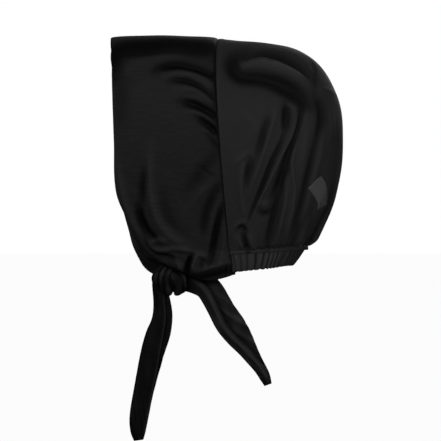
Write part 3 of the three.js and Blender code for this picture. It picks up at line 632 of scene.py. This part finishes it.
def chiffon_point(across, around, below=0.0):
    """The chiffon with its folds, the pleats above the casing and the marks of the seam."""
    base = chiffon_base(across, around)
    normal = outward(chiffon_base, across, around, across)
    fade = (
        smoothstep(across, 0, 0.06)
        * smoothstep(1 - across, 0, 0.015)
        * smoothstep(1 - np.abs(around), 0, 0.08)
    )
    lift = both_sides(chiffon_folds, base) * fade + back_gathers(across, around)
    arc = around * math.pi / 2 * nape_reach
    above_casing = np.abs(1 - across) * chiffon_depth
    gathers = np.exp(-above_casing / pleat_reach) * smoothstep(1 - across, -0.002, 0.02)
    lift -= pleat_height * smoothstep(across, 0.992, 1.002)
    lift += pleat_height * pleat_wave(arc) * gathers * smoothstep(1 - np.abs(around), 0, 0.05)
    lift += chiffon_relief * crumple(base[:, 0], base[:, 2] + base[:, 1], size=45 * mm, seed=8) * fade
    from_seam = across * chiffon_depth
    over_allowance = smoothstep(from_seam, 0, 2.5 * mm) * (1 - smoothstep(from_seam, 8 * mm, 9.5 * mm))
    lift += allowance_mark * over_allowance - seam_dip * seam_line(from_seam)
    return base + normal * (lift - below)[:, None]


chiffon, chiffon_tree, chiffon_shader = cloth_material(
    "black_chiffon", (0.036, 0.0355, 0.036), (0.043, 0.0425, 0.043),
    roughness=0.62, sheen=0.04, specular=0.12, threads=0.00008, streaks=0.00004, creases=0.0008,
)

# The chiffon covers most of what lies behind it, and lets most of the light through.
light_path = chiffon_tree.nodes.new("ShaderNodeLightPath")
sheer = add_node(chiffon_tree, "ShaderNodeMix", {"data_type": "FLOAT"})
sheer.inputs["A"].default_value = 0.83
sheer.inputs["B"].default_value = 0.15
chiffon_tree.links.new(light_path.outputs["Is Shadow Ray"], sheer.inputs["Factor"])
chiffon_tree.links.new(sheer.outputs["Result"], chiffon_shader.inputs["Alpha"])

# The chiffon's inner face. It can be seen only from inside, so one layer lies before the eye. It hides what
# lies beyond it, and its colour is half the outer face's: painted shade for the dim inside of the cap.
chiffon_inside, inside_tree, inside_shader = cloth_material(
    "black_chiffon_inside_shaded", (0.018, 0.0175, 0.018), (0.023, 0.0225, 0.023),
    roughness=0.66, sheen=0.1, specular=0.14, threads=0.00008, streaks=0.00004, creases=0.0008,
)
inside_path = inside_tree.nodes.new("ShaderNodeLightPath")
face_side = inside_tree.nodes.new("ShaderNodeNewGeometry")
facing = add_node(inside_tree, "ShaderNodeMath", {"operation": "SUBTRACT"})
facing.inputs[0].default_value = 1
unshadowed = add_node(inside_tree, "ShaderNodeMath", {"operation": "SUBTRACT"})
unshadowed.inputs[0].default_value = 1
shown = add_node(inside_tree, "ShaderNodeMath", {"operation": "MULTIPLY"})
inside_tree.links.new(face_side.outputs["Backfacing"], facing.inputs[1])
inside_tree.links.new(inside_path.outputs["Is Shadow Ray"], unshadowed.inputs[1])
inside_tree.links.new(facing.outputs[0], shown.inputs[0])
inside_tree.links.new(unshadowed.outputs[0], shown.inputs[1])
inside_tree.links.new(shown.outputs[0], inside_shader.inputs["Alpha"])

# The grid goes on a little below the casing's top edge, so that the casing covers its end.
grid, x, y = cloth_grid(200, 210)
across, around = (x + 1) / 2 * 1.012, y - 0.15 * (1 - y**2)
back_points = chiffon_point(across, around)
# Painted shade in the grooves of the folds and gathers and along the crown seam, and painted highlights on
# their ridges.
back_lift = both_sides(chiffon_folds, chiffon_base(across, around), shade_weight=True)
back_lift += 1.4 * back_gathers(across, around)
back_shade_paint = fold_shade_paint(back_lift, full=4.4 * mm) - seam_shade * seam_line(across * chiffon_depth)
back_panel = finish_piece(
    "back_panel_chiffon", grid, back_points, around * chiffon_half_arc, across * chiffon_depth,
    [chiffon, chiffon_inside], back_shade_paint,
)
give_wall(back_panel, chiffon_wall, inner_slot=1)
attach(back_panel, "root")
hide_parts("back_panel")


# Seam allowance. The jersey's cut edge and the chiffon's, sewn together and turned to the back
# inside the crown seam. It shows faintly through the chiffon and closes the seam's slit.
allowance_front, allowance_back = -0.006, 0.024  # shares of chiffon_depth on either side of the seam
allowance_length = 0.985
allowance_below = 1.9 * mm
allowance_wall = 0.5 * mm

grid, x, y = cloth_grid(8, 220)
across = allowance_front + (x + 1) / 2 * (allowance_back - allowance_front)
around = y * allowance_length
allowance_normal = outward(chiffon_base, np.maximum(across, 0), around, 0 * across)
allowance_points = chiffon_base(across, around) - allowance_normal * allowance_below
seam_allowance = finish_piece(
    "seam_allowance", grid, allowance_points, across * chiffon_depth, around * chiffon_half_arc, [jersey]
)
give_wall(seam_allowance, allowance_wall)
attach(seam_allowance, "root")


# Nape casing. A doubled band of the chiffon with elastic run through it, sewn below the back
# panel from one lower end of the crown seam to the other. The elastic draws it into pleats.
casing_height = 19 * mm
casing_wall = 3.6 * mm
casing_lap = 2 * mm  # over the chiffon's end
casing_drop = 1.4 * mm
casing_sag = 2 * mm
casing_pleat = 1.25 * mm
casing_ripple = 0.3 * mm
top_edge_wave = 0.9 * mm
stitch_dip = 1.1 * mm
end_tuck = 2 * mm
under_jersey = 1.5 * mm

# The band's section is a flat loop with round ends, which runs from its left end to its right one.
grid, x, along = cloth_grid(44, 560)
loop = x * math.pi
turn = along * math.pi / 2
out = np.sign(np.cos(loop)) * np.abs(np.cos(loop)) ** 0.55 * 0.5
up = 0.5 + 0.5 * np.sign(np.sin(loop)) * np.abs(np.sin(loop)) ** 0.8
arc = turn * nape_reach
ends = smoothstep(1 - np.abs(along), 0, 0.03)
outer = smoothstep(out, -0.1, 0.3)
pleats = casing_pleat * pleat_wave(arc) * outer * ends * (0.75 + 0.25 * np.sin(math.pi * up))
ripple = casing_ripple * np.sin(arc / (1.15 * mm) + 3 * pleat_wave(arc * 0.7)) * outer * ends
stitched = -stitch_dip * np.exp(-(((up - 0.86) / 0.07) ** 2)) * outer
tucked = end_tuck * smoothstep(np.abs(along), 0.92, 1) * smoothstep(up, 0.4, 1)
away = out * casing_wall - casing_wall / 2 + pleats + ripple + stitched - tucked
height = (casing_height + casing_lap + casing_sag * (1 - np.cos(turn))) * (1 - up)
height *= 1 + 0.035 * pleat_wave(arc * 1.1) * ends
height -= casing_lap + top_edge_wave * pleat_wave(arc * 0.55 + 3 * mm) * up**2 * ends
below = (casing_drop + height) / edge_drop
start = corner_x - under_jersey + seam_slant * np.sin(below * math.pi / 2)
casing_points = np.stack(
    [
        start + (corner_x + nape_reach + nape_flare * up - start + away) * np.cos(turn),
        (corner_y + away) * np.sin(turn),
        corner_z + nape_rise * np.cos(turn) - casing_drop - height,
    ],
    axis=1,
)
casing_cloth, _, _ = cloth_material(
    "casing_chiffon", (0.037, 0.0365, 0.037), (0.047, 0.0465, 0.047),
    roughness=0.62, sheen=0.04, specular=0.12, threads=0.0001, streaks=0.00008, creases=0.0008,
)
# Painted shade in the pleats' valleys and painted highlights on their ridges, and a painted shadow along
# the top edge above the stitches.
casing_shade_paint = fold_shade_paint((pleats / casing_pleat - 0.15) * ends * outer, full=1.5)
casing_shade_paint -= 0.5 * smoothstep(up, 0.88, 0.97)
casing = finish_piece(
    "nape_casing_gathered", grid, casing_points, up * casing_height * 2, arc * 1.6,
    [casing_cloth], casing_shade_paint,
)


def close_shell(piece):
    """Joins a piece's doubled edge, fills its open ends and turns its faces outwards."""
    shell = bmesh.new()
    shell.from_mesh(piece.data)
    bmesh.ops.remove_doubles(shell, verts=shell.verts, dist=0.02 * mm)
    bmesh.ops.holes_fill(shell, edges=shell.edges, sides=0)
    bmesh.ops.recalc_face_normals(shell, faces=shell.faces)
    shell.to_mesh(piece.data)
    shell.free()


close_shell(casing)
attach(casing, "root")
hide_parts("nape_casing")


# Knot. The panel's two drawn-out corners, tied once over and under the left side of the chin.
# Pleated wraps of jersey go round a tight middle.
def knot_wrap(name, back, up, wide, thick, deep, high, tilt, swing, bow, pleats, seed):
    """A closed ring of gathered jersey round the knot's middle, made by spinning its section. Its
    place and its sizes are shares of the knot's, and it is tilted and swung by degrees."""
    ring_radius = 3
    ring = bmesh.new()
    section = bmesh.ops.create_circle(ring, segments=56, radius=1)["verts"]
    bmesh.ops.rotate(ring, verts=section, cent=(0, 0, 0), matrix=Matrix.Rotation(math.pi / 2, 3, "X"))
    bmesh.ops.translate(ring, verts=section, vec=(ring_radius, 0, 0))
    bmesh.ops.spin(ring, geom=ring.verts[:] + ring.edges[:], cent=(0, 0, 0), axis=(0, 0, 1),
                   angle=2 * math.pi, steps=110, use_merge=True)
    places = np.array([vert.co for vert in ring.verts])
    turn = np.arctan2(places[:, 1], places[:, 0])
    side = np.arctan2(places[:, 2], np.hypot(places[:, 0], places[:, 1]) - ring_radius)
    drift = 0.7 * np.sin(turn + seed) + 0.8 * np.sin(2 * side + 1.7 * seed)
    ridge = 2 * np.abs(np.sin(pleats / 2 * side + drift)) ** 0.7 - 1
    wander = np.sin(2 * side + 3 * turn + seed)
    swell = 1 + 0.1 * ridge + 0.06 * wander
    half_thick = thick * knot_depth / 2
    half_wide = wide * knot_width / 2
    out = half_thick * np.cos(side) * swell
    depth = np.cos(turn) * (deep * knot_depth / 2 + out)
    height = np.sin(turn) * (high * knot_height / 2 + out)
    lean = bow * knot_width * (np.sin(turn) ** 2 - 0.5)
    points = np.stack([half_wide * np.sin(side) * swell + lean, depth, height], axis=1)
    about_y = Matrix.Rotation(math.radians(tilt), 3, "Y")
    about_z = Matrix.Rotation(math.radians(swing), 3, "Z")
    points = points @ np.array(about_z @ about_y).T
    points += knot_place + (back * knot_width, 0, up * knot_height)
    # Painted shade in the pleats' valleys and over the whole wrap, and painted highlights on the pleats'
    # ridges.
    light_and_shade_paint = fold_shade_paint(1.4 * ridge + 0.5 * wander - 1.3, full=1.3)
    piece = finish_piece(name, ring, points, side * half_wide, turn * deep * knot_depth, [jersey], light_and_shade_paint)
    close_shell(piece)
    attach(piece, "root")


knot_wrap(
    "knot_front_wrap", back=-0.14, up=-0.07, wide=0.54, thick=0.46, deep=0.58, high=0.68,
    tilt=16, swing=10, bow=0.2, pleats=6, seed=0.4,
)
knot_wrap(
    "knot_rear_wrap", back=0.24, up=-0.13, wide=0.42, thick=0.42, deep=0.58, high=0.6,
    tilt=-28, swing=-8, bow=-0.16, pleats=5, seed=2.1,
)
knot_wrap(
    "knot_top_wrap", back=0.04, up=0.22, wide=0.3, thick=0.36, deep=0.5, high=0.18,
    tilt=-52, swing=0, bow=0.0, pleats=4, seed=1.2,
)

core_place = knot_place + (2 * mm, 0, -2 * mm)
core_half = np.array([0.9 * knot_width, 0.72 * knot_depth, 0.84 * knot_height]) / 2
core_cloth_wide, core_cloth_high = 14 * mm, 12 * mm
# The middle is painted darker all over: painted shade between the wraps.
core_shade_paint = -0.9

core = bmesh.new()
bmesh.ops.create_uvsphere(core, u_segments=64, v_segments=40, radius=1)
places = np.array([vert.co for vert in core.verts])
bulge = 1 + 0.04 * np.sin(5 * np.arctan2(places[:, 2], places[:, 0])) * np.abs(places[:, 1])
core_points = places * bulge[:, None] * core_half + core_place
knot_core = finish_piece(
    "knot_middle", core, core_points, places[:, 0] * core_cloth_wide, places[:, 2] * core_cloth_high,
    [jersey], np.full(len(places), core_shade_paint),
)
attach(knot_core, "root")
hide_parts("chin_knot")


# Ties. The panel's drawn-out corners below the knot: jersey bands doubled lengthwise, open on
# one side, and tapering to slanted tips. They hang from the knot, the rear one towards the back.
tie_wall = 1.5 * mm
tie_width = 34 * mm
tie_puff = 1.8 * mm
flap_bulge = 1.8 * mm
tie_relief = 1.2 * mm
drag_spacing = 13 * mm
tip_crease_spacing = 5 * mm
front_length, rear_length = 167 * mm, 143 * mm

# From the knot to the tip: how far the tie leans to the back, in degrees, its width as a share of
# tie_width, how much of that its front layer covers, and how far its fold stands open.
front_tie = {
    "along": (0.0, 0.1, 0.17, 0.25, 0.33, 0.5, 0.68, 0.86, 0.95, 1.0),
    "lean": (6, 8, 2, -12, -18, -13, -12, -7, 2, 8),
    "width": (0.38, 0.43, 0.5, 0.57, 0.67, 0.63, 0.56, 0.52, 0.4, 0.24),
    "flap": (0.8, 0.62, 0.6, 0.65, 0.7, 0.86, 0.96, 0.96, 0.94, 0.9),
    "puff": (1.2, 1.3, 1.3, 1.3, 1.1, 0.8, 0.6, 0.5, 0.5, 0.4),
}
rear_tie = {
    "along": (0.0, 0.12, 0.2, 0.36, 0.48, 0.6, 0.72, 0.85, 0.94, 1.0),
    "lean": (84, 68, 36, 29, 35, 36, 33, 34, 25, 20),
    "width": (0.62, 0.7, 0.71, 0.73, 0.79, 0.7, 0.5, 0.34, 0.28, 0.18),
    "flap": (0.85, 0.5, 0.42, 0.37, 0.33, 0.38, 0.55, 0.8, 0.9, 0.9),
    "puff": (1.2, 1.4, 1.5, 1.4, 1.2, 1.0, 0.8, 0.6, 0.5, 0.4),
}


def tie_end(name, node, table, start, length, swing, drags, overall_shade_paint, ridge, seed):
    """A tie hanging from its start. It is painted darker all over by the given painted shade, with a
    painted highlight along its front layer's open edge.
    """
    grid, x, y = cloth_grid(72, 260)
    along = (y + 1) / 2
    steps = np.linspace(0, 1, 400)
    stride = length * steps[1]
    path_lean = np.radians(read(table, "lean", steps[:-1]))
    path_x = np.concatenate([[0], np.cumsum(np.sin(path_lean))]) * stride
    path_z = np.concatenate([[0], np.cumsum(-np.cos(path_lean))]) * stride
    lean = np.radians(read(table, "lean", along))

    # Round the section: the front layer from its open edge, the bend, and the layer behind.
    width = tie_width * read(table, "width", along)
    flap = np.maximum(width * read(table, "flap", along), 3 * tie_wall)
    stand = tie_puff * read(table, "puff", along) / 2 + tie_wall / 2
    bend = math.pi * stand
    cloth = flap + bend + width
    place = (x + 1) / 2 * cloth
    behind = place > flap + bend
    bent = (place > flap) & ~behind
    angle = np.clip(place - flap, 0, bend) / stand
    across = np.where(behind, place - flap - bend, np.clip(flap - place, 0, flap))
    across = np.where(bent, -stand * np.sin(angle), across)
    sideways = across - width / 2 + stand

    # Slanting drags on the layer behind, soft waves, and the bulge of the front layer.
    hanging = np.sin(math.pi * np.clip(along, 0.02, 0.98))
    slope = (0.5 * along * length - sideways) / drag_spacing
    waves = drags * mm * np.sin(2 * math.pi * slope + seed) * hanging * smoothstep(place / cloth, 0.5, 0.7)
    waves += tie_relief * crumple(1.6 * sideways, along * length, 24 * mm, seed) * hanging
    bulge = np.sin(math.pi * np.clip(place / flap, 0, 1)) * (place < flap)
    depth = -stand * np.cos(angle) - waves - flap_bulge * bulge

    # Painted shade beside the open edge and under the knot, darker towards the tip, a painted highlight
    # along the edge itself, and painted light and shade over the drag waves, the front layer's bulge and
    # the tip's creases.
    shade_beside_edge = np.exp(-(((across - flap) / (3.4 * mm)) ** 2))
    edge_highlight_paint = np.exp(-(((place - ridge) / (0.9 * mm + 0.35 * ridge)) ** 2)) * (place < flap)
    # The creases near the tip are painted light and shade only, with no relief.
    near_tip = smoothstep(along, 0.72, 0.8) * (1 - smoothstep(along, 0.9, 0.96))
    creases = near_tip * np.sin(2 * math.pi * (sideways - 0.3 * along * length) / tip_crease_spacing)
    light_and_shade_paint = np.where(behind, -1.1 * shade_beside_edge, -0.35 * bulge) - overall_shade_paint + 0.3 * waves / mm + 0.3 * creases
    light_and_shade_paint = light_and_shade_paint * (1 - edge_highlight_paint) + (0.28 - 0.4 * overall_shade_paint) * edge_highlight_paint
    light_and_shade_paint -= 0.7 * (1 - smoothstep(along, 0.0, 0.14)) + 0.6 * smoothstep(along, 0.92, 0.99)
    points = start + np.stack(
        [
            np.interp(along, steps, path_x) + sideways * np.cos(lean),
            depth - swing * (1 - (1 - along) ** 2),
            np.interp(along, steps, path_z) + sideways * np.sin(lean),
        ],
        axis=1,
    )
    piece = finish_piece(name, grid, points, along * length, place, [jersey], np.clip(light_and_shade_paint, -1.15, 0.32))
    give_wall(piece, tie_wall)
    piece.modifiers["wall"].offset = 0
    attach(piece, "root")
    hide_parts(node)
    return piece


front_start = knot_place + (-0.34 * knot_width, 0, -0.2 * knot_height)
rear_start = knot_place + (0.46 * knot_width, 0.25 * knot_depth, -0.13 * knot_height)
front_end = tie_end(
    "tie_front_band", "tie_end_front", front_tie, front_start, front_length,
    swing=6 * mm, drags=0.3, overall_shade_paint=0.75, ridge=1 * mm, seed=1,
)
rear_end = tie_end(
    "tie_rear_band", "tie_end_rear", rear_tie, rear_start, rear_length,
    swing=32 * mm, drags=0.7, overall_shade_paint=0.05, ridge=3.4 * mm, seed=2,
)


# Care label. A blank strip of pale woven tape, held at one end inside the back panel's left
# side. It shows through the chiffon as a paler patch.
label_width, label_length, label_wall = 17 * mm, 41 * mm, 0.4 * mm
label_across, label_around = np.array([0.758]), np.array([-0.34])
label_length_way = (1.04, 0.78)  # how its length runs down the back and round it
label_width_way = (-0.3, 0.84)  # how its width does
label_gap, label_droop = 0.6 * mm, 2 * mm

# The chiffon's own measures turn into metres by how far a small step of each goes at the label.
nudge = 1e-3
here = chiffon_base(label_across, label_around)
across_metres = np.linalg.norm(chiffon_base(label_across + nudge, label_around) - here) / nudge
around_metres = np.linalg.norm(chiffon_base(label_across, label_around + nudge) - here) / nudge
grid, x, y = cloth_grid(16, 12)
down, aside = x * label_length / 2, y * label_width / 2
label_points = chiffon_point(
    label_across + (label_length_way[0] * down + label_width_way[0] * aside) / across_metres,
    label_around + (label_length_way[1] * down + label_width_way[1] * aside) / around_metres,
    below=chiffon_wall + label_gap + label_droop * (1 - y),
)
label_cloth, _, _ = cloth_material(
    "pale_label_tape", (0.8, 0.8, 0.79), (0.86, 0.86, 0.85),
    roughness=0.7, sheen=0.0, specular=0.14, threads=0.0001, streaks=0.0001, creases=0.0002,
)
care_label = finish_piece(
    "care_label_tape", grid, label_points, x * label_length, y * label_width, [label_cloth]
)
give_wall(care_label, label_wall)
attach(care_label, "root")
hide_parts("care_label")


# The studio. A floor below the ties and a surround, which are near white where the camera sees
# them straight and give the cap little light. Soft lights stand over the camera's side, so that
# the tops of the folds catch the light and their undersides stay dark.
floor_depth = 0.57
floor_size = 40
cap_middle = Vector((0, 0, -0.15))


def seen_straight(tree):
    """1 where the camera looks at it past nothing see-through, and otherwise 0."""
    path = tree.nodes.new("ShaderNodeLightPath")
    unveiled = add_node(tree, "ShaderNodeMath", {"operation": "LESS_THAN"})
    unveiled.inputs[1].default_value = 0.5
    seen = add_node(tree, "ShaderNodeMath", {"operation": "MULTIPLY"})
    tree.links.new(path.outputs["Transparent Depth"], unveiled.inputs[0])
    tree.links.new(path.outputs["Is Camera Ray"], seen.inputs[0])
    tree.links.new(unveiled.outputs[0], seen.inputs[1])
    return seen.outputs[0]


floor_shape = bmesh.new()
bmesh.ops.create_grid(floor_shape, x_segments=1, y_segments=1, size=floor_size)
bmesh.ops.translate(floor_shape, verts=floor_shape.verts, vec=(0, 0, -floor_depth))
floor_paint = bpy.data.materials.new("pale_floor")
floor_tree = nodes_of(floor_paint)
floor_matt = add_node(floor_tree, "ShaderNodeBsdfDiffuse", inputs={"Color": (0.12, 0.12, 0.12, 1)})
floor_glow = add_node(floor_tree, "ShaderNodeEmission", inputs={"Color": (0.97, 0.97, 0.97, 1)})
floor_mix = floor_tree.nodes.new("ShaderNodeMixShader")
floor_end = floor_tree.nodes.new("ShaderNodeOutputMaterial")
floor_tree.links.new(seen_straight(floor_tree), floor_mix.inputs["Fac"])
floor_tree.links.new(floor_matt.outputs[0], floor_mix.inputs[1])
floor_tree.links.new(floor_glow.outputs[0], floor_mix.inputs[2])
floor_tree.links.new(floor_mix.outputs[0], floor_end.inputs["Surface"])
floor = show("floor", floor_shape, [floor_paint])

world = bpy.data.worlds.new("white_surround")
bpy.context.scene.world = world
world_tree = nodes_of(world)
world_mix = add_node(world_tree, "ShaderNodeMix", {"data_type": "FLOAT"})
world_mix.inputs["A"].default_value = 0.1
world_mix.inputs["B"].default_value = 1.0
surround = add_node(world_tree, "ShaderNodeBackground", inputs={"Color": (1, 1, 1, 1)})
world_end = world_tree.nodes.new("ShaderNodeOutputWorld")
world_tree.links.new(seen_straight(world_tree), world_mix.inputs["Factor"])
world_tree.links.new(world_mix.outputs["Result"], surround.inputs["Strength"])
world_tree.links.new(surround.outputs[0], world_end.inputs["Surface"])


def soft_light(name, place, size, power):
    """A square lamp that faces the middle of the cap."""
    lamp = bpy.data.lights.new(name, "AREA")
    lamp.shape = "SQUARE"
    lamp.size = size
    lamp.energy = power
    light = bpy.data.objects.new(name, lamp)
    light.location = place
    light.rotation_euler = (cap_middle - light.location).to_track_quat("-Z", "Y").to_euler()
    bpy.context.scene.collection.objects.link(light)


soft_light("key", (-0.7, -2.8, 1.0), size=1.2, power=24)
soft_light("side_fill", (1.9, -2.1, 0.2), size=1.2, power=11)
soft_light("rear_fill", (0.8, 2.7, 0.8), size=1.4, power=11)
bpy.context.scene.view_settings.view_transform = "Standard"
